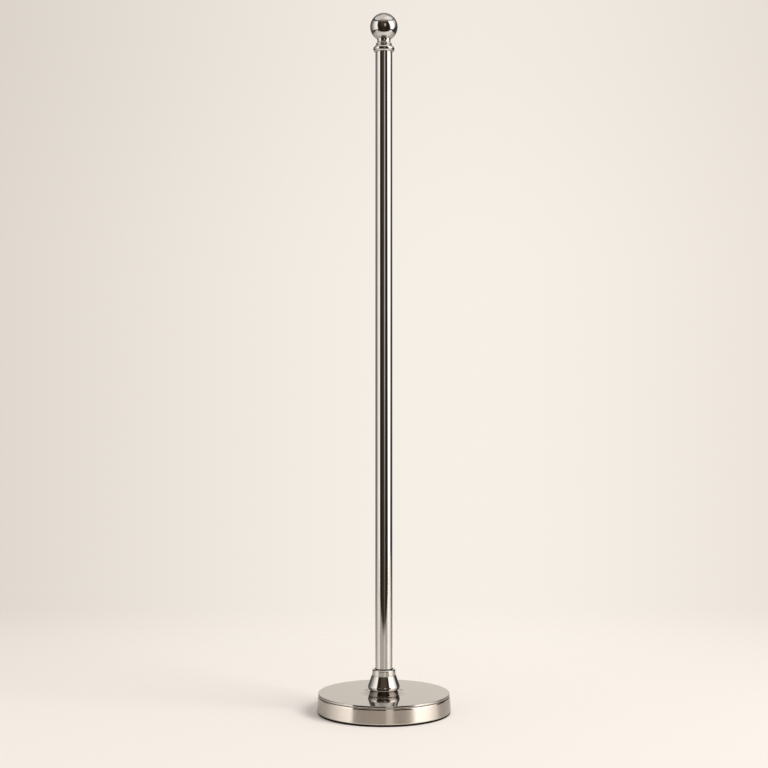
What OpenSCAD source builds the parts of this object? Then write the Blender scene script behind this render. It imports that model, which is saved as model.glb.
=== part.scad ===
// Indoor flagpole: a polished tube with a ball finial, stepped into a bell socket on a round weighted base.
// Millimetres, +Z up, the foot pad stands on z = 0 and the pole runs up the Z axis.

/* [Pole] */
// Outside diameter of the tube
pole_d = 44.5; // [36:0.5:54]
// Wall of the tube
pole_wall = 1.5; // [1:0.1:3]
// Length of the tube between its cut ends
pole_len = 1665.5; // [900:0.5:2400]
// Height of the threaded plug in the foot of the tube
plug_h = 30; // [22:1:60]

/* [Finial] */
// Diameter of the ball
ball_d = 72.4; // [58:0.2:96]
// Wall of the spun ball
ball_wall = 2; // [1:0.1:4]
// Depth of the solid boss in the bottom of the ball
ball_boss = 18; // [15:0.5:26]
// Height of the bead round the top of the pole, with the quirk under it
bead_h = 17.5; // [12:0.5:24]
// How far the bead swells past the pole
bead_out = 5.7; // [3:0.1:8]
// Height of the quirk between the bead and the pole
quirk_h = 1.4; // [0.5:0.1:3]
// Depth of the quirk, in from the pole's outline
quirk_in = 1.2; // [0.5:0.1:1.4]
// How far the bead's spigot reaches into the tube
spigot_h = 32; // [28:1:60]
// Height of the groove between the bead and the lip
groove_h = 1.6; // [0.8:0.1:3]
// Depth of the groove, in from the lip's outline
groove_in = 2; // [1:0.1:4]
// Height of the half-round lip at the foot of the neck
lip_h = 6; // [3:0.1:8]
// How far the lip stays inside the pole's outline
lip_in = 1.05; // [0.2:0.05:2]
// Height of the hollow neck between lip and ball
cove_h = 11.2; // [8:0.2:20]
// Depth of the hollow at the neck's waist
cove_depth = 0.9; // [0.5:0.1:4]
// Thread diameter of the neck's studs
stud_d = 12; // [8:1:16]
// Length of the upper stud
stud_up = 13; // [8:1:14]
// Length of the lower stud
stud_down = 34; // [20:1:40]

/* [Socket] */
// Height of the ring round the pole
ring_h = 15.5; // [10:0.5:24]
// Wall of the ring at its top
ring_wall = 6.75; // [6:0.05:12]
// How far the ring widens from top to foot
ring_lean = 0.3; // [0:0.1:3]
// Rounding of the ring's outer top edge
ring_round = 4.2; // [1:0.1:4.8]
// Chamfer of the ring's mouth
mouth_h = 1; // [0.4:0.1:1.2]
// Wall of the rubber seal between the ring and the pole
seal_wall = 1.1; // [0.8:0.1:2]
// How far the seal stands up out of the ring
seal_up = 1.8; // [0.5:0.1:4]
// Rounding of the seal's outer top edge
seal_round = 0.5; // [0.2:0.1:0.6]
// How far the bell's top stands out past the ring
bell_step = 1; // [0.2:0.1:2]
// Height of the bell
bell_h = 39.5; // [28:0.5:56]
// How far the bell widens from top to belly
bell_out = 10.3; // [7:0.1:16]
// Radius of the curve that turns the bell's side upright
bell_belly = 26; // [20:0.5:34]
// Rounding under the belly
bell_round = 7; // [3:0.1:16]

/* [Base] */
// Diameter of the base at its foot
base_d = 350; // [300:1:440]
// How far the side wall leans in from foot to shoulder
base_draft = 2.2; // [0:0.1:4]
// Height of the side wall, from its foot to its shoulder
skirt_h = 40; // [30:0.5:60]
// Rounding of the shoulder
shoulder_round = 3.6; // [3:0.1:6]
// Rounding of the wall's lower edge
hem_round = 2.8; // [2.6:0.1:6]
// Width of the flange turned in under the top plate
flange_w = 12; // [9:0.5:20]
// Width of the flange turned in at the foot
hem_w = 9; // [4:0.5:14]
// Height of the top plate's bullnose edge
edge_h = 7; // [5.5:0.1:10]
// How far the bullnose stays inside the shoulder's outline
edge_in = 1; // [0:0.1:2]
// Slope of the deck, in degrees, up from the bullnose to the hub (0 is flat)
deck_tilt = 0; // [0:0.1:1.8]
// Rise of the swept hub over the deck
hub_rise = 6.6; // [1.2:0.1:10]
// How far the sweep runs out over the deck
hub_run = 32; // [12:1:40]
// How far the hub's top stays inside the bell's belly
hub_in = 7; // [0.5:0.1:14]
// Thickness of the spun sheet
sheet = 1.5; // [1:0.1:2]
// Thickness of the cast weight's floor under its cored hollow
core_floor = 12; // [8:0.5:26]
// Width of the weight's rim outside the hollow
core_rim = 14; // [10:0.5:40]
// How far the weight's hub stands out past the hub's top
core_hub = 7.5; // [4:0.5:20]
// Draft of the hollow's sides
core_draft = 2; // [0:0.5:5]

/* [Foot and clamp] */
// Thickness of the rubber pad under the base
foot_h = 4.4; // [2:0.1:6]
// How far the pad stays inside the wall's foot
foot_in = 1.5; // [0.5:0.1:3]
// Diameter of the opening in the middle of the pad
foot_hole_d = 120; // [80:1:180]
// Rounding of the pad's lower edges
foot_round = 0.8; // [0.3:0.1:1]
// Diameter of the recess for the bolt's head
cup_d = 60; // [52:1:72]
// Depth of the recess for the bolt's head
cup_h = 17; // [15.5:0.5:22]
// Thread diameter of the clamp bolt
bolt_d = 16; // [10:1:20]
// Width of the bolt's head across its flats
head_af = 24; // [20:1:32]
// Height of the bolt's head
head_h = 10; // [6:0.5:11]
// How far the bolt reaches into the plug
bolt_in = 24; // [15:1:29]
// Diameter of the washer
washer_d = 50; // [40:1:56]
// Thickness of the washer
washer_t = 3; // [2:0.5:4]

/* [Fits] */
// Gap all round between the pole and the socket's bore
pole_gap = 0.25; // [0.1:0.05:0.3]
// Gap all round between a spigot and the tube
spigot_gap = 0.1; // [0.05:0.05:0.3]
// Gap all round a screw in its thread
thread_gap = 0.1; // [0.05:0.05:0.3]
// Gap all round the bolt in the holes it passes through
bolt_gap = 0.25; // [0.1:0.05:0.3]
// Gap all round the seal, inside and out
seal_gap = 0.05; // [0.02:0.01:0.1]
// Gap between the ball and its seat on the neck
seat_gap = 0.05; // [0.02:0.01:0.2]
// Gap all round between the weight and the flange
weight_gap = 0.3; // [0.1:0.05:0.3]

/* [Hidden] */
$fn = 96;
far = 10;
lap = 0.1;

pole_r = pole_d / 2;
tube_r = pole_r - pole_wall;
bore_r = pole_r + pole_gap;
spigot_r = tube_r - spigot_gap;
bolt_r = bolt_d / 2;
stud_r = stud_d / 2;

seal_in_r = pole_r + seal_gap;
seal_r = seal_in_r + seal_wall;
mouth_r = seal_r + seal_gap;
ring_top_r = mouth_r + ring_wall;
ring_foot_r = ring_top_r + ring_lean;
bell_top_r = ring_foot_r + bell_step;
bell_r = bell_top_r + bell_out;

hub_top_r = bell_r - hub_in;
hub_foot_r = hub_top_r + hub_run;
sweep_along = hub_run * cos(deck_tilt) + hub_rise * sin(deck_tilt);
sweep_off = hub_rise * cos(deck_tilt) - hub_run * sin(deck_tilt);
hub_sweep = (sweep_along * sweep_along + sweep_off * sweep_off) / (2 * sweep_off);

base_r = base_d / 2;
shoulder_r = base_r - base_draft;
edge_r = edge_h / 2;
plate_r = shoulder_r - edge_in;
roll_r = plate_r - edge_r;
flange_r = roll_r - flange_w;
weight_r = flange_r - weight_gap;

shoulder_z = foot_h + skirt_h;
plate_z = shoulder_z + edge_h;
roll_z = plate_z - edge_r;
deck_r = roll_r + edge_r * sin(deck_tilt);
deck_z = roll_z + edge_r * cos(deck_tilt);
hub_foot_z = deck_z + (deck_r - hub_foot_r) * tan(deck_tilt);
hub_z = hub_foot_z + hub_rise;
sweep_r = hub_foot_r + hub_sweep * sin(deck_tilt);
sweep_z = hub_foot_z + hub_sweep * cos(deck_tilt);
sweep_top = asin((sweep_r - hub_top_r) / hub_sweep);
sweep_under = acos((sweep_z - hub_z + sheet) / (hub_sweep + sheet));
sheet_r = sheet * sin(deck_tilt);
sheet_z = sheet * cos(deck_tilt);
bell_z = hub_z + bell_h;
cup_z = foot_h + cup_h;
washer_z = cup_z - washer_t;

pole_top_z = hub_z + pole_len;
neck_z = pole_top_z + bead_h;
ball_r = ball_d / 2;
lip_r = pole_r - lip_in;
lip_z = groove_h + lip_h;
cove_r = lip_r - lip_h / 2;
waist_r = cove_r - cove_depth;
cove_sweep = (cove_h * cove_h / 4 + cove_depth * cove_depth) / (2 * cove_depth);
seat_drop = sqrt(ball_r * ball_r - cove_r * cove_r);
ball_z = neck_z + lip_z + cove_h + seat_drop;

bead_half = (bead_h - quirk_h) / 2;
bead_sweep = (bead_half * bead_half + bead_out * bead_out) / (2 * bead_out);

nickel = [0.80, 0.77, 0.71];
satin = [0.68, 0.65, 0.59];
rubber = [0.10, 0.10, 0.10];
iron = [0.24, 0.25, 0.26];
zinc = [0.72, 0.73, 0.74];

// A rectangle in the half-plane of a turned piece, from one corner to the other
module span(r0, z0, r1, z1) {
  translate([r0, z0])
    square([r1 - r0, z1 - z0]);
}

// A disc of the turned profile, centred at a radius and height
module dot(r, z, radius) {
  translate([r, z])
    circle(r = radius);
}

// Points along an arc, for a turned outline
function arc(r, z, radius, from, to, steps = 10) = [
  for (i = [0:steps])
    let (a = from + (to - from) * i / steps)
      [r + radius * cos(a), z + radius * sin(a)]
];

// Rubber pad that the base stands on, open in the middle to reach the bolt
module foot_pad() {
  pad_r = base_r - foot_in;
  hole_r = foot_hole_d / 2;
  color(rubber)
    rotate_extrude() {
      span(hole_r + foot_round, 0, pad_r - foot_round, foot_h);
      span(hole_r, foot_round, pad_r, foot_h);
      dot(hole_r + foot_round, foot_round, foot_round);
      dot(pad_r - foot_round, foot_round, foot_round);
    }
}

// Filled outline of the side wall, drawn smaller by an inset to hollow it
module skirt_outline(inset, inward) {
  low_r = hem_round - inset;
  high_r = shoulder_round - inset;
  foot_z = foot_h + inset;
  top_z = shoulder_z - inset;
  polygon([
    [base_r - hem_round - hem_w - inward, foot_z],
    [base_r - hem_round, foot_z],
    [base_r - inset, foot_h + hem_round],
    [shoulder_r - inset, shoulder_z - shoulder_round],
    [shoulder_r - shoulder_round, top_z],
    [flange_r - inward, top_z]
  ]);
  dot(base_r - hem_round, foot_h + hem_round, low_r);
  dot(shoulder_r - shoulder_round, shoulder_z - shoulder_round, high_r);
}

// Spun side wall of the base, its edges turned in at the shoulder and at the foot
module base_skirt() {
  color(satin)
    rotate_extrude()
      difference() {
        skirt_outline(0, 0);
        skirt_outline(sheet, far);
      }
}

// Spun top plate: rolled bullnose edge, a flat deck and a swept hub for the socket
module base_plate() {
  color(satin)
    rotate_extrude() {
      span(flange_r, shoulder_z, roll_r, shoulder_z + sheet);
      intersection() {
        difference() {
          dot(roll_r, roll_z, edge_r);
          dot(roll_r, roll_z, edge_r - sheet);
        }
        polygon([
          [roll_r - lap, roll_z],
          [roll_r - lap, roll_z - edge_h],
          [plate_r + far, roll_z - edge_h],
          [plate_r + far, roll_z + edge_h],
          [roll_r + edge_h * tan(deck_tilt) - lap, roll_z + edge_h]
        ]);
      }
      polygon(concat(
        [[deck_r, deck_z]],
        arc(sweep_r, sweep_z, hub_sweep, 270 - deck_tilt, 270 - sweep_top),
        [[bolt_r + bolt_gap, hub_z], [bolt_r + bolt_gap, hub_z - sheet]],
        arc(sweep_r, sweep_z, hub_sweep + sheet, 270 - sweep_under, 270 - deck_tilt),
        [[deck_r - sheet_r, deck_z - sheet_z]]
      ));
    }
}

// Cast weight inside the base, cored under the deck, that carries the plate at its rim and hub
module base_weight() {
  core_z = foot_h + core_floor;
  core_in_r = hub_top_r + core_hub;
  core_out_r = weight_r - core_rim;
  color(iron)
    rotate_extrude()
      difference() {
        polygon([
          [0, foot_h],
          [weight_r, foot_h],
          [weight_r, deck_z + (deck_r - weight_r) * tan(deck_tilt) - sheet / cos(deck_tilt)],
          [hub_foot_r - sheet_r, hub_foot_z - sheet_z],
          [hub_foot_r - sheet_r, hub_z - sheet],
          [0, hub_z - sheet]
        ]);
        dot(sweep_r, sweep_z, hub_sweep + sheet);
        polygon([
          [core_in_r + core_draft, core_z],
          [core_out_r - core_draft, core_z],
          [core_out_r, hub_z],
          [core_in_r, hub_z]
        ]);
        span(0, foot_h - far, cup_d / 2, cup_z);
        span(0, foot_h, bolt_r + bolt_gap, hub_z);
      }
}

// Plate washer in the weight's recess
module clamp_washer() {
  color(zinc)
    rotate_extrude()
      span(bolt_r + bolt_gap, washer_z, washer_d / 2, cup_z);
}

// Bolt that draws the plug, the plate and the weight together
module clamp_bolt() {
  head_r = head_af / 2 / cos(30);
  color(zinc) {
    intersection() {
      translate([0, 0, washer_z - head_h])
        cylinder(r = head_r, h = head_h, $fn = 6);
      rotate_extrude()
        polygon([
          [0, washer_z - head_h],
          [head_af / 2 - bolt_gap, washer_z - head_h],
          [head_r, washer_z - head_h + head_r - head_af / 2 + bolt_gap],
          [head_r + far, washer_z],
          [0, washer_z]
        ]);
    }
    translate([0, 0, washer_z - head_h / 2])
      cylinder(r = bolt_r, h = hub_z + bolt_in - washer_z + head_h / 2);
  }
}

// Threaded plug pressed into the foot of the tube
module pole_plug() {
  color(zinc)
    rotate_extrude()
      span(bolt_r + thread_gap, hub_z, spigot_r, hub_z + plug_h);
}

// Plain tube from the hub up to the finial
module pole_tube() {
  color(nickel)
    translate([0, 0, hub_z])
      rotate_extrude()
        span(tube_r, 0, pole_r, pole_len);
}

// Bell that hides the foot of the pole: a straight flare, a full belly and a tucked-under foot
module socket_bell() {
  belly_r = bell_r - bell_belly;
  rise = bell_h - bell_round;
  run = bell_belly - bell_out;
  flare = atan2(rise, run) - acos(bell_belly / sqrt(rise * rise + run * run));
  color(nickel)
    translate([0, 0, hub_z])
      rotate_extrude()
        polygon(concat(
          [[bore_r, bell_h], [bore_r, 0]],
          arc(bell_r - bell_round, bell_round, bell_round, -90, 0),
          arc(belly_r, bell_round, bell_belly, 0, flare),
          [[bell_top_r, bell_h]]
        ));
}

// Ring seated on the bell, straight-sided up to a rounded rim
module socket_ring() {
  color(nickel)
    translate([0, 0, bell_z])
      rotate_extrude() {
        polygon([
          [mouth_r, 0],
          [ring_foot_r, 0],
          [ring_top_r, ring_h - ring_round],
          [ring_top_r - ring_round, ring_h],
          [mouth_r + mouth_h, ring_h],
          [mouth_r, ring_h - mouth_h]
        ]);
        intersection() {
          dot(ring_top_r - ring_round, ring_h - ring_round, ring_round);
          span(ring_top_r - ring_round, ring_h - ring_round, ring_top_r, ring_h);
        }
      }
}

// Rubber seal round the pole inside the ring, its rounded edge standing just out of the mouth
module socket_seal() {
  seal_h = ring_h + seal_up;
  color(rubber)
    translate([0, 0, bell_z])
      rotate_extrude() {
        span(seal_in_r, 0, seal_r, seal_h - seal_round);
        span(seal_in_r, 0, seal_r - seal_round, seal_h);
        intersection() {
          dot(seal_r - seal_round, seal_h - seal_round, seal_round);
          span(seal_in_r, 0, seal_r, seal_h);
        }
      }
}

// Bead on the end of the pole over a quirk, with the spigot that holds it in the tube
module finial_collar() {
  bead_z = quirk_h + bead_half;
  color(nickel)
    translate([0, 0, pole_top_z])
      rotate_extrude()
        difference() {
          union() {
            span(0, -spigot_h, spigot_r, bead_h);
            span(0, 0, pole_r - quirk_in, bead_h);
            intersection() {
              dot(pole_r + bead_out - bead_sweep, bead_z, bead_sweep);
              span(0, quirk_h, pole_r + bead_out + far, bead_h);
            }
            span(0, quirk_h, pole_r, bead_h);
          }
          span(-far, -spigot_h - far, stud_r + thread_gap, bead_h + far);
        }
}

// Turned neck: a groove, a half-round lip, a hollow waist and a spherical seat, with a stud at each end
module finial_neck() {
  centre_z = lip_z + cove_h + seat_drop;
  color(nickel)
    translate([0, 0, neck_z])
      rotate_extrude() {
        span(0, 0, lip_r - groove_in, groove_h + lip_h / 2);
        span(0, groove_h, cove_r, lip_z);
        dot(cove_r, groove_h + lip_h / 2, lip_h / 2);
        difference() {
          span(0, groove_h + lip_h / 2, cove_r, lip_z + cove_h);
          dot(waist_r + cove_sweep, lip_z + cove_h / 2, cove_sweep);
          dot(0, centre_z, ball_r + seat_gap);
        }
        span(0, -stud_down, stud_r, groove_h);
        span(0, lip_z, stud_r, centre_z - ball_r + stud_up);
      }
}

// Spun ball with a solid boss drilled for the neck's stud
module finial_ball() {
  color(nickel)
    translate([0, 0, ball_z])
      rotate_extrude()
        difference() {
          intersection() {
            circle(r = ball_r);
            span(0, -ball_r, ball_r, ball_r);
          }
          intersection() {
            circle(r = ball_r - ball_wall);
            span(-far, ball_boss - ball_r, ball_r, ball_r);
          }
          span(-far, -ball_r - far, stud_r + thread_gap, 0);
        }
}

foot_pad();
base_skirt();
base_plate();
base_weight();
clamp_washer();
clamp_bolt();
pole_plug();
pole_tube();
socket_bell();
socket_ring();
socket_seal();
finial_collar();
finial_neck();
finial_ball();
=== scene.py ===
import math

import bmesh
import bpy
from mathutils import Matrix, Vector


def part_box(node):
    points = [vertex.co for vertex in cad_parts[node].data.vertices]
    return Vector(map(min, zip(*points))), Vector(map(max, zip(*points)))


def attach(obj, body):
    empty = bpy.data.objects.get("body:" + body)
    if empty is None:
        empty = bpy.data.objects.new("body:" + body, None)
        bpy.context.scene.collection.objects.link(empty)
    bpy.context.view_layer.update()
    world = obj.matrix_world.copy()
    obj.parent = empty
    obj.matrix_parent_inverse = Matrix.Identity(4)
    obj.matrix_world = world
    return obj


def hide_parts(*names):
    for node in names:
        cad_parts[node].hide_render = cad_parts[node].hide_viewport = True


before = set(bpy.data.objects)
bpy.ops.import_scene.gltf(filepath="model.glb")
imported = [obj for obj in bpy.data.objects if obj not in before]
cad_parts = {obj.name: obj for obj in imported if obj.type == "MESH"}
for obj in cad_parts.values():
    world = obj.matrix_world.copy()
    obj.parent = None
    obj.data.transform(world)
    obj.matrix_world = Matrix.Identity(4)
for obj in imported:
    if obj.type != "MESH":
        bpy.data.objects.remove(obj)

# Flagpole on a weighted base. Outlines are half sections (radius, height) in millimetres, turned about Z.

scene = bpy.context.scene
mm = 0.001
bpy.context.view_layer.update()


def span(node):
    low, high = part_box(node)
    return {"r": high.x / mm, "z0": low.z / mm, "z1": high.z / mm}


pad, skirt, plate, weight = (span(n) for n in ("foot_pad", "base_skirt", "base_plate", "base_weight"))
washer, bolt, tube = (span(n) for n in ("clamp_washer", "clamp_bolt", "pole_tube"))
bell, ring, seal = (span(n) for n in ("socket_bell", "socket_ring", "socket_seal"))
collar, neck, ball = (span(n) for n in ("finial_collar", "finial_neck", "finial_ball"))

# Camera, level and a little under half the pole's height

view = {"lens": 70.0, "sensor": 36.0, "away": 3.905, "height": 0.8575, "side": 0.0003}

cameraData = bpy.data.cameras.new("photoCamera")
cameraData.lens = view["lens"]
cameraData.sensor_width = view["sensor"]
camera = bpy.data.objects.new("photoCamera", cameraData)
camera.location = (view["side"], -view["away"], view["height"])
camera.rotation_euler = (math.pi / 2, 0, 0)
scene.collection.objects.link(camera)
scene.camera = camera
scene.view_settings.view_transform = "Standard"
print("camera set")

# Node helpers for finishes and for the studio's light


class Nodes:
    def __init__(self, tree):
        self.tree = tree

    def node(self, kind, **settings):
        made = self.tree.nodes.new(kind)
        for key, value in settings.items():
            setattr(made, key, value)
        return made

    def join(self, source, target):
        self.tree.links.new(source, target)

    def put(self, target, value):
        if isinstance(value, bpy.types.NodeSocket):
            self.join(value, target)
        else:
            target.default_value = value

    def putTone(self, target, tone):
        self.put(target, tone if isinstance(tone, bpy.types.NodeSocket) else (*tone, 1))

    def calc(self, operation, a, b=0.0):
        made = self.node("ShaderNodeMath", operation=operation)
        self.put(made.inputs[0], a)
        self.put(made.inputs[1], b)
        return made.outputs[0]

    def times(self, a, b):
        return self.calc("MULTIPLY", a, b)

    def plus(self, a, b):
        return self.calc("ADD", a, b)

    def graded(self, value, start, end, low=0.0, high=1.0, curve="SMOOTHSTEP"):
        made = self.node("ShaderNodeMapRange", interpolation_type=curve)
        self.put(made.inputs["Value"], value)
        for key, limit in (("From Min", start), ("From Max", end), ("To Min", low), ("To Max", high)):
            self.put(made.inputs[key], limit)
        return made.outputs[0]

    def blended(self, share, one, two):
        made = self.node("ShaderNodeMix", data_type="RGBA")
        self.put(made.inputs["Factor"], share)
        self.putTone(made.inputs[6], one)  # sockets 6, 7 and 2 are the node's colours
        self.putTone(made.inputs[7], two)
        return made.outputs[2]


# Finishes; a noise is given as scale, detail and, where it isn't the usual half, roughness

noiseSpan = (0.3, 0.7)  # most values of a noise lie between these
quarterTurn = 0.25


class Finish(Nodes):
    def __init__(self, name):
        self.material = bpy.data.materials.new(name)
        self.material.use_nodes = True
        super().__init__(self.material.node_tree)
        self.shader = self.tree.nodes["Principled BSDF"]
        self.coords = self.node("ShaderNodeTexCoord").outputs["Object"]
        parts = self.node("ShaderNodeSeparateXYZ")
        self.join(self.coords, parts.inputs[0])
        self.x, self.y, self.z = parts.outputs

    def stretched(self, x, y, z):
        made = self.node("ShaderNodeMapping")
        made.inputs["Scale"].default_value = (x, y, z)
        self.join(self.coords, made.inputs["Vector"])
        return made.outputs["Vector"]

    def radius(self):
        square = self.plus(self.times(self.x, self.x), self.times(self.y, self.y))
        return self.calc("SQRT", square)

    def turnedGrain(self, across, along):
        # fine across the radius, long round the circle, with no seam
        made = self.node("ShaderNodeCombineXYZ")
        self.put(made.inputs[0], self.times(self.radius(), across))
        self.put(made.inputs[1], self.times(self.x, along))
        self.put(made.inputs[2], self.times(self.y, along))
        return made.outputs[0]

    def noise(self, vector, scale, detail, rough=0.5):
        made = self.node("ShaderNodeTexNoise")
        self.join(vector, made.inputs["Vector"])
        made.inputs["Scale"].default_value = scale
        made.inputs["Detail"].default_value = detail
        made.inputs["Roughness"].default_value = rough
        return made.outputs["Fac"]

    def metal(self, tone, rough, look):
        self.shader.inputs["Metallic"].default_value = 1.0
        self.coloured(tone, rough, look)

    def coloured(self, tone, rough, look):
        share = self.graded(tone, *noiseSpan, curve="LINEAR")
        self.join(self.blended(share, *look["tones"]), self.shader.inputs["Base Color"])
        haze = self.graded(rough, *noiseSpan, look["smooth"], look["hazy"], "LINEAR")
        self.join(haze, self.shader.inputs["Roughness"])

    def shinier(self, share):
        rough = self.shader.inputs["Roughness"]
        self.put(rough, self.times(rough.links[0].from_socket, share))

    def grainRoundAxis(self, amount):
        # the highlight spreads across marks that run round the axis
        made = self.node("ShaderNodeTangent", direction_type="RADIAL", axis="Z")
        self.join(made.outputs[0], self.shader.inputs["Tangent"])
        self.shader.inputs["Anisotropic"].default_value = amount
        self.shader.inputs["Anisotropic Rotation"].default_value = quarterTurn

    def bumped(self, height, depth, strength):
        made = self.node("ShaderNodeBump")
        made.inputs["Strength"].default_value = strength
        made.inputs["Distance"].default_value = depth
        self.join(height, made.inputs["Height"])
        self.join(made.outputs[0], self.shader.inputs["Normal"])


polished = {
    "tones": ((0.605, 0.58, 0.545), (0.645, 0.62, 0.59)), "smooth": 0.025, "hazy": 0.05,
    "smudge": (14.0, 4.0), "wave": (11.0, 1.0), "waveStretch": 0.2,
    "waveDepth": 0.00002, "waveStrength": 0.3,
}


def polishedNickel():
    made = Finish("polishedNickel")
    smudge = made.noise(made.coords, *polished["smudge"])
    wave = made.noise(made.stretched(1.0, 1.0, polished["waveStretch"]), *polished["wave"])
    made.metal(smudge, smudge, polished)
    made.bumped(wave, polished["waveDepth"], polished["waveStrength"])
    return made.material


deck = {
    "tones": ((0.497, 0.462, 0.428), (0.53, 0.50, 0.465)), "smooth": 0.045, "hazy": 0.075,
    "across": 420.0, "along": 5.0, "lines": (1.0, 4.0, 0.6), "lineDepth": 0.00001, "lineStrength": 0.012,
    "grain": 0.3, "rim": (0.163, 0.167), "rimShine": 0.45,
}


def brushedNickel():
    made = Finish("brushedNickel")
    lines = made.noise(made.turnedGrain(deck["across"], deck["along"]), *deck["lines"])
    made.metal(lines, lines, deck)
    made.shinier(made.graded(made.radius(), *deck["rim"], 1.0, deck["rimShine"]))
    made.bumped(lines, deck["lineDepth"], deck["lineStrength"])
    made.grainRoundAxis(deck["grain"])
    return made.material


wall = {
    "tones": ((0.70, 0.635, 0.565), (0.735, 0.675, 0.61)), "smooth": 0.24, "hazy": 0.27,
    "across": 700.0, "along": 5.0, "lines": (1.0, 4.0, 0.6), "lineDepth": 0.00001, "lineStrength": 0.006,
    "grain": 0.95, "shoulder": (5.4, 3.8), "hem": (3.6, 2.4), "edgeShine": 0.2,
}


def satinNickel():
    made = Finish("satinNickel")
    lines = made.noise(made.stretched(wall["along"], wall["along"], wall["across"]), *wall["lines"])
    made.metal(lines, lines, wall)
    shoulder = [(skirt["z1"] - drop) * mm for drop in wall["shoulder"]]
    hem = [(skirt["z0"] + lift) * mm for lift in wall["hem"]]
    for start, end in (shoulder, hem):
        made.shinier(made.graded(made.z, start, end, 1.0, wall["edgeShine"]))
    made.bumped(lines, wall["lineDepth"], wall["lineStrength"])
    made.grainRoundAxis(wall["grain"])
    return made.material


zinc = {
    "tones": ((0.50, 0.51, 0.50), (0.66, 0.67, 0.66)), "smooth": 0.24, "hazy": 0.4, "spangle": (160.0, 3.0),
    "across": 900.0, "along": 12.0, "lines": (1.0, 3.0), "lineDepth": 0.00003, "lineStrength": 0.2,
}


def zincSteel():
    made = Finish("zincSteel")
    spangle = made.noise(made.coords, *zinc["spangle"])
    lines = made.noise(made.turnedGrain(zinc["across"], zinc["along"]), *zinc["lines"])
    made.metal(spangle, lines, zinc)
    made.bumped(lines, zinc["lineDepth"], zinc["lineStrength"])
    return made.material


iron = {
    "tones": ((0.016, 0.016, 0.017), (0.045, 0.044, 0.043)), "smooth": 0.5, "hazy": 0.75,
    "lump": (260.0, 4.0, 0.6), "pit": (1400.0, 2.0), "pitShare": 0.35, "depth": 0.0006, "strength": 0.8,
}


def castIron():
    made = Finish("castIron")
    lump = made.noise(made.coords, *iron["lump"])
    pit = made.noise(made.coords, *iron["pit"])
    made.coloured(lump, pit, iron)
    skin = made.plus(lump, made.times(pit, iron["pitShare"]))
    made.bumped(skin, iron["depth"], iron["strength"])
    return made.material


rubber = {
    "tones": ((0.009, 0.009, 0.009), (0.020, 0.019, 0.018)), "smooth": 0.55, "hazy": 0.72, "shine": 0.1,
    "speck": (1100.0, 3.0), "dust": (35.0, 4.0), "depth": 0.0001, "strength": 0.35,
}


def blackRubber():
    made = Finish("blackRubber")
    speck = made.noise(made.coords, *rubber["speck"])
    dust = made.noise(made.coords, *rubber["dust"])
    made.coloured(dust, dust, rubber)
    made.shader.inputs["Specular IOR Level"].default_value = rubber["shine"]
    made.bumped(speck, rubber["depth"], rubber["strength"])
    return made.material


finishes = {
    "polished_nickel": polishedNickel(),
    "brushed_nickel": brushedNickel(),
    "satin_nickel": satinNickel(),
    "zinc_steel": zincSteel(),
    "iron": castIron(),
    "rubber": blackRubber(),
}
print("finishes made:", ", ".join(sorted(finishes)))

# Turning

lathe = {"steps": 256, "crease": 28.0, "guard": 0.45, "longRun": 2.5, "samePoint": 1e-4, "onAxis": 1e-6}


def arc(r, z, radius, start, end, steps):
    points = []
    for i in range(steps + 1):
        a = math.radians(start + (end - start) * i / steps)
        points.append((r + radius * math.cos(a), z + radius * math.sin(a)))
    return points


def withGuards(outline, closed):
    # short runs beside each end of a long one keep the shading of the long one flat
    count = len(outline)
    result = []
    for i, (r, z) in enumerate(outline):
        result.append((r, z))
        if i == count - 1 and not closed:
            break
        nextR, nextZ = outline[(i + 1) % count]
        length = math.hypot(nextR - r, nextZ - z)
        if length > lathe["longRun"]:
            for share in (lathe["guard"] / length, 1 - lathe["guard"] / length):
                result.append((r + (nextR - r) * share, z + (nextZ - z) * share))
    return result


def tidyOutline(outline, closed):
    kept = []
    for point in outline:
        if not kept or math.dist(point, kept[-1]) > lathe["samePoint"]:
            kept.append(point)
    if closed and math.dist(kept[0], kept[-1]) < lathe["samePoint"]:
        kept.pop()
    return withGuards(kept, closed)


def circle(steps):
    return [2 * math.pi * k / steps for k in range(steps)]


def placed(r, z, angle):
    return (r * mm * math.cos(angle), r * mm * math.sin(angle), z * mm)


def skinned(work, one, two):
    # faces between two rings of points; a ring of one point is a tip on the axis
    steps = max(len(one), len(two))
    for k in range(steps):
        after = (k + 1) % steps
        if len(one) == 1:
            work.faces.new((one[0], two[after], two[k]))
        elif len(two) == 1:
            work.faces.new((one[k], one[after], two[0]))
        else:
            work.faces.new((one[k], one[after], two[after], two[k]))


def finished(name, work):
    bmesh.ops.recalc_face_normals(work, faces=work.faces)
    crease = math.radians(lathe["crease"])
    for face in work.faces:
        face.smooth = True
    for edge in work.edges:
        if len(edge.link_faces) == 2 and edge.calc_face_angle(0) > crease:
            edge.smooth = False
    mesh = bpy.data.meshes.new(name)
    work.to_mesh(mesh)
    work.free()
    piece = bpy.data.objects.new(name, mesh)
    scene.collection.objects.link(piece)
    return piece


def turned(name, outline, closed=True, steps=lathe["steps"]):
    turn = circle(steps)
    work = bmesh.new()
    rings = []
    for r, z in tidyOutline(outline, closed):
        tip = r < lathe["onAxis"]
        points = [(0, 0, z * mm)] if tip else [placed(r, z, a) for a in turn]
        rings.append([work.verts.new(point) for point in points])
    if closed:
        rings.append(rings[0])
    for one, two in zip(rings, rings[1:]):
        skinned(work, one, two)
    return finished(name, work)


def fitted(piece, node, slotName):
    piece.data.materials.append(finishes[slotName])
    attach(piece, "root")
    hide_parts(node)
    print("made", piece.name, "for", node, "with", len(piece.data.polygons), "faces")


# Foot pad: a rubber disc with grip rings underneath

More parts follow.
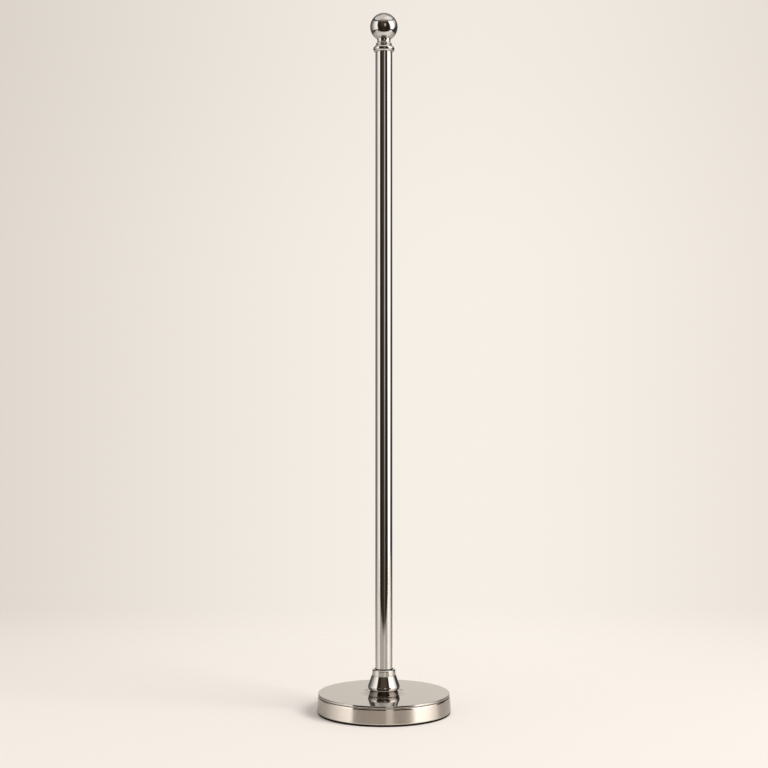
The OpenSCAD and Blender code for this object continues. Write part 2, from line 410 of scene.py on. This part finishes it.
footPad = {
    "hole": 60.0, "round": 0.8, "roundSteps": 5, "margin": 6.0,
    "ringPitch": 6.0, "ringGap": 1.4, "ringDepth": 0.6, "ringFloor": 0.6,  # floor as a share of the gap
}


def makeFootPad():
    p = footPad
    outer, hole, top, small = pad["r"], p["hole"], pad["z1"], p["round"]
    half, deep = p["ringGap"] / 2, p["ringDepth"]
    floor = half * p["ringFloor"]
    outline = [(hole, top)]
    outline += arc(hole + small, small, small, 180, 270, p["roundSteps"])
    r = hole + p["margin"]
    while r < outer - p["margin"]:
        outline += [(r - half, 0), (r - floor, deep), (r + floor, deep), (r + half, 0)]
        r += p["ringPitch"]
    outline += arc(outer - small, small, small, 270, 360, p["roundSteps"])
    outline += [(outer, top)]
    fitted(turned("footPad", outline), "foot_pad", "rubber")


makeFootPad()

# Base: drafted side wall, top plate with a rolled edge and a swept hub, cast weight

baseWall = {
    "draft": 2.2, "shoulder": 3.6, "shoulderRound": 1.2, "shoulderLean": 12.0, "roundSteps": 8,
    "insideSteps": 12, "hem": 2.8, "hemSteps": 8, "hemWidth": 9.0, "flange": 156.3, "sheet": 1.5, "steps": 320,
}


def wallLine(inset):
    # one side of the sheet, from the hem round the wall to the flange
    p = baseWall
    low, high, hem, shoulder = skirt["z0"], skirt["z1"], p["hem"], p["shoulder"]
    foot, top = skirt["r"], skirt["r"] - p["draft"]
    lean = math.degrees(math.atan2(p["draft"], high - low - shoulder - hem))
    outline = arc(foot - hem, low + hem, hem - inset, 270, 360 + lean, p["hemSteps"])
    if inset:
        return outline + arc(top - shoulder, high - shoulder, shoulder - inset, lean, 90, p["insideSteps"])
    return outline + shoulderFace(top, high)


def shoulderFace(top, high):
    # a narrow leaning face under the top plate, with a small round at the joint
    p = baseWall
    small, lean = p["shoulderRound"], math.radians(p["shoulderLean"])
    centre = top - (p["shoulder"] - small) * math.tan(lean) - small / math.cos(lean)
    joint = arc(centre, high - small, small, p["shoulderLean"], 90, p["roundSteps"])
    return [(top, high - p["shoulder"])] + joint


def makeBaseWall():
    p = baseWall
    hemR = skirt["r"] - p["hem"] - p["hemWidth"]
    low, high = skirt["z0"], skirt["z1"]
    outline = [(hemR, low + p["sheet"]), (hemR, low)] + wallLine(0)
    outline += [(p["flange"], high), (p["flange"], high - p["sheet"])] + wallLine(p["sheet"])[::-1]
    fitted(turned("baseWall", outline, steps=p["steps"]), "base_skirt", "satin_nickel")


makeBaseWall()

topPlate = {
    "edge": 7.0, "rise": 6.6, "run": 32.0, "hubTop": 34.8, "bore": 8.25, "flange": 156.3, "sheet": 1.5,
    "upperRound": 1.3, "upperSteps": 12, "lowerRound": 2.9, "lowerSteps": 14, "faceLean": 7.0,
    "sweepSteps": 24, "underSteps": 40, "underPast": 4, "insideSteps": 12, "steps": 320,
}


def hubSweep():
    # centre, radius and angles of the arc from the hub's top out to the flat deck
    p = topPlate
    run, rise = p["run"], p["rise"]
    radius = (run ** 2 + rise ** 2) / (2 * rise)
    return {
        "r": p["hubTop"] + run, "z": plate["z1"] - rise + radius, "radius": radius,
        "start": 270 - 2 * math.degrees(math.atan2(rise, run)), "end": 270,
    }


def hubUnderside():
    # the sweep's lower side, from the deck in to the flat of the hub
    p, sweep = topPlate, hubSweep()
    flat, lower = plate["z1"] - p["sheet"], sweep["radius"] + p["sheet"]
    past = sweep["start"] - p["underPast"]
    points = arc(sweep["r"], sweep["z"], lower, sweep["end"], past, p["underSteps"])
    return [(r, z) for r, z in points if z < flat]


def rolledEdge():
    # bullnose with a nearly upright face between its two rounds, from the deck down to the joint
    p = topPlate
    out, low, lean = plate["r"], plate["z0"], p["faceLean"]
    upper, lower = p["upperRound"], p["lowerRound"]
    tip = low + p["edge"] - upper
    shift = lower - upper - (tip - low - lower) * math.sin(math.radians(lean))
    centre = out - lower + shift / math.cos(math.radians(lean))
    outline = arc(centre, tip, upper, 90, lean, p["upperSteps"])
    return outline + arc(out - lower, low + lower, lower, lean, -90, p["lowerSteps"])


def makeTopPlate():
    p, sweep = topPlate, hubSweep()
    sheet, half = p["sheet"], p["edge"] / 2
    low, hub = plate["z0"], plate["z1"]
    outline = [(p["bore"], hub - sheet), (p["bore"], hub)]
    outline += arc(sweep["r"], sweep["z"], sweep["radius"], sweep["start"], sweep["end"], p["sweepSteps"])
    outline += rolledEdge()
    outline += [(p["flange"], low), (p["flange"], low + sheet)]
    outline += arc(plate["r"] - half, low + half, half - sheet, -90, 90, p["insideSteps"])
    outline += hubUnderside()
    fitted(turned("topPlate", outline, steps=p["steps"]), "base_plate", "brushed_nickel")


makeTopPlate()

castWeight = {
    "recess": 30.0, "recessDepth": 17.0, "bore": 8.25, "fillet": 2.5, "filletSteps": 5,
    "edge": 1.5, "edgeSteps": 4, "floor": 12.0, "rim": 14.0, "hub": 42.3, "draft": 2.0,
}


def makeCastWeight():
    p = castWeight
    low, top, out = weight["z0"], plate["z1"] - topPlate["sheet"], weight["r"]
    roof, floor, rim = low + p["recessDepth"], low + p["floor"], out - p["rim"]
    fillet, edge = p["fillet"], p["edge"]
    under = plate["z0"] + topPlate["edge"] - topPlate["sheet"]  # lower side of the deck
    outline = [(p["bore"], top), (p["bore"], roof)]
    outline += arc(p["recess"] - fillet, roof - fillet, fillet, 90, 0, p["filletSteps"])
    outline += arc(p["recess"] + fillet, low + fillet, fillet, 180, 270, p["filletSteps"])
    outline += arc(out - edge, low + edge, edge, 270, 360, p["edgeSteps"])
    outline += [(out, under), (rim, under), (rim - p["draft"], floor), (p["hub"] + p["draft"], floor)]
    outline += [(r, z) for r, z in hubUnderside() if r < p["hub"]]
    fitted(turned("castWeight", outline), "base_weight", "iron")


makeCastWeight()

# Clamp seen from below: washer and bolt

clamp = {
    "bore": 8.25, "washerEdge": 0.5, "edgeSteps": 4, "flats": 24.0, "head": 10.0, "shank": 8.0, "tip": 1.0,
    "crown": 11.4, "slope": 30.0, "dish": 0.6, "dishFloor": 0.82, "dishRim": 0.88, "steps": 96,
}


def makeWasher():
    p = clamp
    low, high, out, edge = washer["z0"], washer["z1"], washer["r"], p["washerEdge"]
    outline = [(p["bore"], high), (p["bore"], low + edge), (p["bore"] + edge, low)]
    outline += arc(out - edge, low + edge, edge, 270, 360, p["edgeSteps"]) + [(out, high)]
    fitted(turned("washer", outline), "clamp_washer", "zinc_steel")


def makeBolt():
    p = clamp
    low, high, crown, shank = bolt["z0"], bolt["z1"], p["crown"], p["shank"]
    seat, steps = low + p["head"], p["steps"]
    turn = circle(steps)
    side, halfSide = math.pi / 3, math.pi / 6  # angles taken up by one of the six flats
    flats = [p["flats"] / 2 / math.cos((a + halfSide) % side - halfSide) for a in turn]
    slope = math.tan(math.radians(p["slope"]))
    work = bmesh.new()

    def loop(radii, heights):
        return [work.verts.new(placed(r, z, a)) for r, z, a in zip(radii, heights, turn)]

    def roundLoop(r, z):
        return loop([r] * steps, [z] * steps)

    loops = [
        roundLoop(crown * p["dishFloor"], low + p["dish"]),
        roundLoop(crown * p["dishRim"], low),
        roundLoop(crown, low),
        loop(flats, [low + max(0.0, r - crown) * slope for r in flats]),
        loop(flats, [seat] * steps),
        roundLoop(shank, seat),
        roundLoop(shank, high - p["tip"]),
        roundLoop(shank - p["tip"], high),
    ]
    for one, two in zip(loops, loops[1:]):
        skinned(work, one, two)
    work.faces.new(loops[0])
    work.faces.new(loops[-1])
    fitted(finished("clampBolt", work), "clamp_bolt", "zinc_steel")


makeWasher()
makeBolt()

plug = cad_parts["pole_plug"]
plug.data.materials.clear()
plug.data.materials.append(finishes["zinc_steel"])

# Pole

poleTube = {"wall": 1.5, "edge": 0.3}


def makePole():
    p = poleTube
    low, high, out = tube["z0"], tube["z1"], tube["r"]
    inside, edge = out - p["wall"], p["edge"]
    outline = [(inside, low), (out - edge, low), (out, low + edge)]
    outline += [(out, high - edge), (out - edge, high), (inside, high)]
    fitted(turned("poleTube", outline), "pole_tube", "polished_nickel")


makePole()

# Socket: bell, ring and a thin black rubber sleeve round the pole; the sleeve is painted shade, its dark band
# standing in for the shadow line just above the ring

socketBell = {
    "gap": 0.25, "top": 31.5, "belly": 10.0, "bellySteps": 18, "tuck": 9.8, "tuckSteps": 14,
    "topEdge": 0.35, "topEdgeIn": 0.7,  # inward run of the edge as a share of its height
}


def makeBell():
    p = socketBell
    low, high, out = bell["z0"], bell["z1"], bell["r"]
    bore, tuck, belly, edge = tube["r"] + p["gap"], p["tuck"], p["belly"], p["topEdge"]
    rise, run = high - low - tuck, belly - (out - p["top"])
    flare = math.degrees(math.atan2(rise, run) - math.acos(belly / math.hypot(rise, run)))
    lean = math.tan(math.radians(flare))
    outline = [(bore, high), (bore, low)]
    outline += arc(out - tuck, low + tuck, tuck, 270, 360, p["tuckSteps"])
    outline += arc(out - belly, low + tuck, belly, 0, flare, p["bellySteps"])
    outline += [(p["top"] + edge * lean, high - edge), (p["top"] - edge * p["topEdgeIn"], high)]
    fitted(turned("socketBell", outline), "socket_bell", "polished_nickel")


makeBell()

socketRing = {"mouth": 23.45, "topWall": 6.75, "round": 4.2, "roundSteps": 14, "chamfer": 1.0, "footEdge": 0.3}


def makeRing():
    p = socketRing
    low, high, out = ring["z0"], ring["z1"], ring["r"]
    mouth, top = p["mouth"], p["mouth"] + p["topWall"]
    edge, chamfer = p["footEdge"], p["chamfer"]
    outline = [(mouth, low), (out - edge, low), (out, low + edge)]
    outline += arc(top - p["round"], high - p["round"], p["round"], 0, 90, p["roundSteps"])
    outline += [(mouth + chamfer, high), (mouth, high - chamfer)]
    fitted(turned("socketRing", outline), "socket_ring", "polished_nickel")


makeRing()

shadowLineSleeve = {"gap": 0.05, "round": 0.5, "roundSteps": 6}


# black rubber sleeve standing just proud of the ring: painted shade for the shadow line on the pole above the
# ring's mouth
def makeShadowLineSleeve():
    p = shadowLineSleeve
    low, high, out = seal["z0"], seal["z1"], seal["r"]
    inside, small = tube["r"] + p["gap"], p["round"]
    outline = [(inside, low), (out, low)]
    outline += arc(out - small, high - small, small, 0, 90, p["roundSteps"]) + [(inside, high)]
    fitted(turned("shadowLineSleeve", outline), "socket_seal", "rubber")


makeShadowLineSleeve()

# Finial: bead, neck and ball

bead = {"height": 17.5, "quirk": 1.4, "quirkIn": 1.2, "spigot": 20.65, "bore": 6.1, "swellSteps": 36}


def makeBead():
    p = bead
    low, high, out = collar["z0"], collar["z1"], collar["r"]
    foot = high - p["height"]
    half = (p["height"] - p["quirk"]) / 2
    quirk, start = tube["r"] - p["quirkIn"], foot + p["quirk"]
    swell = out - tube["r"]
    sweep = (half ** 2 + swell ** 2) / (2 * swell)
    reach = math.degrees(math.asin(half / sweep))
    outline = [(p["bore"], low), (p["spigot"], low), (p["spigot"], foot), (quirk, foot), (quirk, start)]
    outline += arc(out - sweep, start + half, sweep, -reach, reach, p["swellSteps"])
    outline += [(p["bore"], high)]
    fitted(turned("finialBead", outline), "finial_collar", "polished_nickel")


makeBead()

turnedNeck = {
    "groove": 1.6, "grooveIn": 2.0, "lip": 6.0, "lipSteps": 20, "cove": 11.2, "coveDepth": 0.9, "coveSteps": 28,
    "stud": 6.0, "down": 34.0, "seat": 0.05, "seatSteps": 8,
}


def makeNeck():
    p = turnedNeck
    foot, lip = neck["z0"] + p["down"], neck["r"]
    lipTop, lipHalf = foot + p["groove"] + p["lip"], p["lip"] / 2
    coveR, half = lip - lipHalf, p["cove"] / 2
    groove = lip - p["grooveIn"]
    sweep = (half ** 2 + p["coveDepth"] ** 2) / (2 * p["coveDepth"])
    reach = math.degrees(math.asin(half / sweep))
    coveCentre = coveR - p["coveDepth"] + sweep
    ballR = ball["r"] + p["seat"]
    ballZ = ball["z1"] - ball["r"]
    seatStart = math.degrees(math.asin(coveR / ballR))
    seatEnd = math.degrees(math.asin(p["stud"] / ballR))
    grooveAngle = math.degrees(math.acos((groove - coveR) / lipHalf))
    outline = [(0, neck["z0"]), (p["stud"], neck["z0"]), (p["stud"], foot), (groove, foot)]
    outline += arc(coveR, lipTop - lipHalf, lipHalf, -grooveAngle, 90, p["lipSteps"])
    outline += arc(coveCentre, lipTop + half, sweep, 180 + reach, 180 - reach, p["coveSteps"])[1:]
    outline += arc(0, ballZ, ballR, 270 + seatStart, 270 + seatEnd, p["seatSteps"])[1:]
    outline += [(p["stud"], neck["z1"]), (0, neck["z1"])]
    fitted(turned("finialNeck", outline, closed=False), "finial_neck", "polished_nickel")


makeNeck()

spunBall = {"wall": 2.0, "boss": 18.0, "bore": 6.1, "outsideSteps": 96, "insideSteps": 40}


def makeBall():
    p = spunBall
    radius = ball["r"]
    centre = ball["z1"] - radius
    hole = math.degrees(math.asin(p["bore"] / radius))
    inside, floor = radius - p["wall"], p["boss"] - radius
    floorAngle = math.degrees(math.asin(floor / inside))
    outline = arc(0, centre, radius, 90, -90 + hole, p["outsideSteps"])
    outline[0] = (0, centre + radius)
    outline += [(p["bore"], centre + floor)]
    inner = arc(0, centre, inside, floorAngle, 90, p["insideSteps"])
    inner[-1] = (0, centre + inside)
    fitted(turned("finialBall", outline + inner, closed=False), "finial_ball", "polished_nickel")


makeBall()

# Studio floor: pale, fading into the backdrop; distances in metres from the pole
# pairs in far are for the camera, which sees more floor than the metal does

floorSheet = {
    "front": (-1.55, -1.10), "back": (-0.3, 2.0), "side": (3.2, 3.8),
    "far": {"front": (-8.0, -3.0), "side": (4.0, 8.0)},
    "tone": (0.92, 0.87, 0.82), "rough": 0.15, "bend": 2.3, "shine": (0.9, 0.0), "drop": 0.0003,
}


def makeFloor():
    p = floorSheet
    (backStart, backEnd), frontEnd, sideEnd = p["back"], p["far"]["front"][0], p["far"]["side"][1]
    work = bmesh.new()
    corners = ((-sideEnd, frontEnd), (sideEnd, frontEnd), (sideEnd, backEnd), (-sideEnd, backEnd))
    work.faces.new([work.verts.new((x, y, -p["drop"])) for x, y in corners])
    floor = finished("studioFloor", work)
    made = Finish("studioFloor")
    made.shader.inputs["Base Color"].default_value = (*p["tone"], 1)
    made.shader.inputs["Roughness"].default_value = p["rough"]
    made.shader.inputs["IOR"].default_value = p["bend"]
    seen = made.node("ShaderNodeLightPath").outputs["Is Camera Ray"]
    made.join(made.graded(seen, 0, 1, *p["shine"]), made.shader.inputs["Specular IOR Level"])
    limits = {key: [made.graded(seen, 0, 1, near, far, "LINEAR") for near, far in zip(p[key], p["far"][key])]
              for key in p["far"]}
    front = made.graded(made.y, *limits["front"])
    back = made.graded(made.y, backEnd, backStart)
    sides = made.graded(made.calc("ABSOLUTE", made.x), *reversed(limits["side"]))
    above = made.calc("SUBTRACT", 1.0, made.node("ShaderNodeNewGeometry").outputs["Backfacing"])
    shown = made.times(made.times(front, back), above)  # open from below
    made.join(made.times(shown, sides), made.shader.inputs["Alpha"])
    floor.data.materials.append(made.material)


makeFloor()

# Key light for the floor and its soft shadow, from the right and in front; azimuth 0 is the camera's side

keyLight = {
    "azimuth": 62.0, "elevation": 45.0, "away": 16.0, "spread": 30.0,
    "power": 1540.0, "tone": (1.0, 0.985, 0.96),
}


def makeKeyLight():
    p = keyLight
    turn, lift = math.radians(p["azimuth"]), math.radians(p["elevation"])
    lamp = bpy.data.lights.new("keyLight", "AREA")
    lamp.shape = "DISK"
    lamp.size = 2 * p["away"] * math.tan(math.radians(p["spread"] / 2))
    lamp.energy = p["power"]
    lamp.color = p["tone"]
    holder = bpy.data.objects.new("keyLight", lamp)
    flat = p["away"] * math.cos(lift)
    holder.location = (flat * math.sin(turn), -flat * math.cos(turn), p["away"] * math.sin(lift))
    holder.rotation_euler = (math.pi / 2 - lift, 0, turn)
    holder.visible_camera = False
    holder.visible_glossy = False
    scene.collection.objects.link(holder)


makeKeyLight()

# Light seen in the metal: azimuth, positive to the right, and elevation, in degrees
# a panel's lean moves its sides with elevation, and the second figure of its foot lifts it with azimuth

panels = {
    "right": {"azimuth": (54.6, 100.5), "lean": (-0.42, 0.85), "foot": (-32.5, 0.2), "top": 37,
              "soft": (9, 3, 3), "fade": (70, 112), "glow": (2.1, 0.7)},
    "left": {"azimuth": (-138, -55), "lean": (0, 0), "foot": (-35, 0.2), "top": 34,
             "soft": (4, 3, 3), "fade": (-130, -55), "glow": (0.08, 1.5)},
    "strip": {"azimuth": (4, 16), "lean": (0, 0), "foot": (-4, 0), "top": 15,
              "soft": (4, 18, 8), "fade": (0, 1), "glow": (0.68, 0.68)},
    "ceilingRight": {"azimuth": (15, 105), "lean": (0, 0), "foot": (48, 0), "top": 75,
                     "soft": (40, 12, 12), "fade": (0, 1), "glow": (0.4, 0.4)},
}
overhead = {"front": (26, 66), "side": (39, 45), "glow": 0.82, "behind": 0.27, "behindTop": (62, 78)}
darkRoom = {
    "sideFrom": (30, 60), "behindFrom": (112, 138), "side": 0.06, "behind": 0.08,
    "front": (0.03, 0.07), "frontRise": (-16, 16), "frontTone": (1.4, 1.0, 0.62),
    "frontEdge": 0.3, "frontFade": (12, 40),
    "low": 0.45, "lowSide": (75, 105), "lowSlope": 0.43, "lowFrom": (-69, -76), "lowTop": (-9, -14),
}
# the backdrop's tones are painted shade: darker towards the left and right edges and, by topShade, towards the
# top, brightest in the middle
backdrop = {
    "left": (0.676, 0.618, 0.548), "middle": (0.926, 0.866, 0.796), "right": (0.772, 0.706, 0.638),
    "across": (-0.42, 0.06, 0.42), "topFrom": (0.06, 0.26), "topShade": 0.05,
    "mirrorWidth": (20, 8), "mirrorTop": (33, 27), "mirrorDim": (-3, 11.2, 0.4, 1.0),
}
light = {"tint": (1.0, 0.975, 0.95), "floorFill": 0.56}


class Sky(Nodes):
    def __init__(self):
        world = bpy.data.worlds.new("studio")
        scene.world = world
        world.use_nodes = True
        super().__init__(world.node_tree)
        self.tree.nodes.clear()
        direction = self.node("ShaderNodeSeparateXYZ")
        self.join(self.node("ShaderNodeTexCoord").outputs["Generated"], direction.inputs[0])
        self.x, self.y, self.z = direction.outputs
        degree = 180 / math.pi
        forward = self.times(self.y, -1)
        self.azimuth = self.times(self.calc("ARCTAN2", self.x, forward), degree)
        self.elevation = self.times(self.calc("ARCSINE", self.z), degree)
        self.turnedAway = self.calc("ABSOLUTE", self.azimuth)
        self.side = self.graded(self.turnedAway, *darkRoom["sideFrom"])
        self.behind = self.graded(self.turnedAway, *darkRoom["behindFrom"])

    def band(self, value, low, high, softLow, softHigh):
        rise = self.graded(self.calc("SUBTRACT", value, low), -softLow / 2, softLow / 2)
        fall = self.graded(self.calc("SUBTRACT", value, high), softHigh / 2, -softHigh / 2)
        return self.times(rise, fall)

    def panel(self, p):
        limits = [self.plus(self.times(self.elevation, lean), edge)
                  for edge, lean in zip(p["azimuth"], p["lean"])]
        foot = self.plus(self.times(self.turnedAway, p["foot"][1]), p["foot"][0])
        softSide, softFoot, softTop = p["soft"]
        shape = self.times(self.band(self.azimuth, *limits, softSide, softSide),
                           self.band(self.elevation, foot, p["top"], softFoot, softTop))
        return self.times(shape, self.graded(self.azimuth, *p["fade"], *p["glow"]))

    def ceiling(self):
        p = overhead
        start, end = (self.graded(self.side, 0, 1, front, side, "LINEAR")
                      for front, side in zip(p["front"], p["side"]))
        shape = self.graded(self.elevation, start, end)
        low = self.times(self.behind, self.graded(self.elevation, *reversed(p["behindTop"])))
        return self.times(shape, self.graded(low, 0, 1, p["glow"], p["behind"], "LINEAR"))

    def shade(self):
        p = darkRoom
        front = self.times(self.graded(self.elevation, *p["frontRise"], *p["front"], "LINEAR"),
                           self.graded(self.turnedAway, *p["frontFade"], 1.0, p["frontEdge"]))
        around = self.graded(self.behind, 0, 1, p["side"], p["behind"], "LINEAR")
        slanted = self.calc("SUBTRACT", self.elevation, self.times(self.turnedAway, p["lowSlope"]))
        low = self.times(self.graded(self.turnedAway, *p["lowSide"]),
                         self.graded(slanted, *p["lowFrom"], 0.0, p["low"]))
        low = self.times(low, self.graded(self.elevation, *p["lowTop"]))
        return self.plus(self.graded(self.side, 0, 1, front, around, "LINEAR"), low)

    def cream(self):
        # painted shade: the backdrop darkens towards its left and right edges and towards the top
        p = backdrop
        left, middle, right = p["across"]
        tone = self.blended(self.graded(self.x, left, middle), p["left"], p["middle"])
        tone = self.blended(self.graded(self.x, middle, right), tone, p["right"])
        made = self.node("ShaderNodeVectorMath", operation="SCALE")
        self.join(tone, made.inputs[0])
        self.put(made.inputs["Scale"], self.graded(self.z, *p["topFrom"], 1.0, 1.0 - p["topShade"]))
        return made.outputs[0]

    def glowing(self, tone, strength):
        made = self.node("ShaderNodeBackground")
        self.putTone(made.inputs["Color"], tone)
        self.put(made.inputs["Strength"], strength)
        return made.outputs[0]

    def either(self, share, one, two):
        made = self.node("ShaderNodeMixShader")
        self.put(made.inputs[0], share)
        self.join(one, made.inputs[1])
        self.join(two, made.inputs[2])
        return made.outputs[0]

    def both(self, one, two):
        made = self.node("ShaderNodeAddShader")
        self.join(one, made.inputs[0])
        self.join(two, made.inputs[1])
        return made.outputs[0]


def makeSky():
    sky = Sky()
    bright = sky.ceiling()
    for p in panels.values():
        bright = sky.plus(bright, sky.panel(p))
    darkTone = sky.blended(sky.side, darkRoom["frontTone"], light["tint"])
    metalSees = sky.both(sky.glowing(light["tint"], bright), sky.glowing(darkTone, sky.shade()))
    cream = sky.cream()
    # the metal sees a dimmed backdrop straight behind the pole
    width, soft = backdrop["mirrorWidth"]
    start = 180 - width
    mirrored = sky.times(sky.graded(sky.turnedAway, start - soft / 2, start + soft / 2),
                         sky.graded(sky.elevation, *backdrop["mirrorTop"]))
    dimmed = sky.glowing(cream, sky.graded(sky.elevation, *backdrop["mirrorDim"]))
    metalSees = sky.either(mirrored, metalSees, dimmed)
    rays = sky.node("ShaderNodeLightPath")
    floorSees = sky.glowing(light["tint"], light["floorFill"])
    shown = sky.either(rays.outputs["Is Diffuse Ray"], metalSees, floorSees)
    shown = sky.either(rays.outputs["Is Camera Ray"], shown, sky.glowing(cream, 1.0))
    sky.join(shown, sky.node("ShaderNodeOutputWorld").inputs["Surface"])


makeSky()
print("studio set")
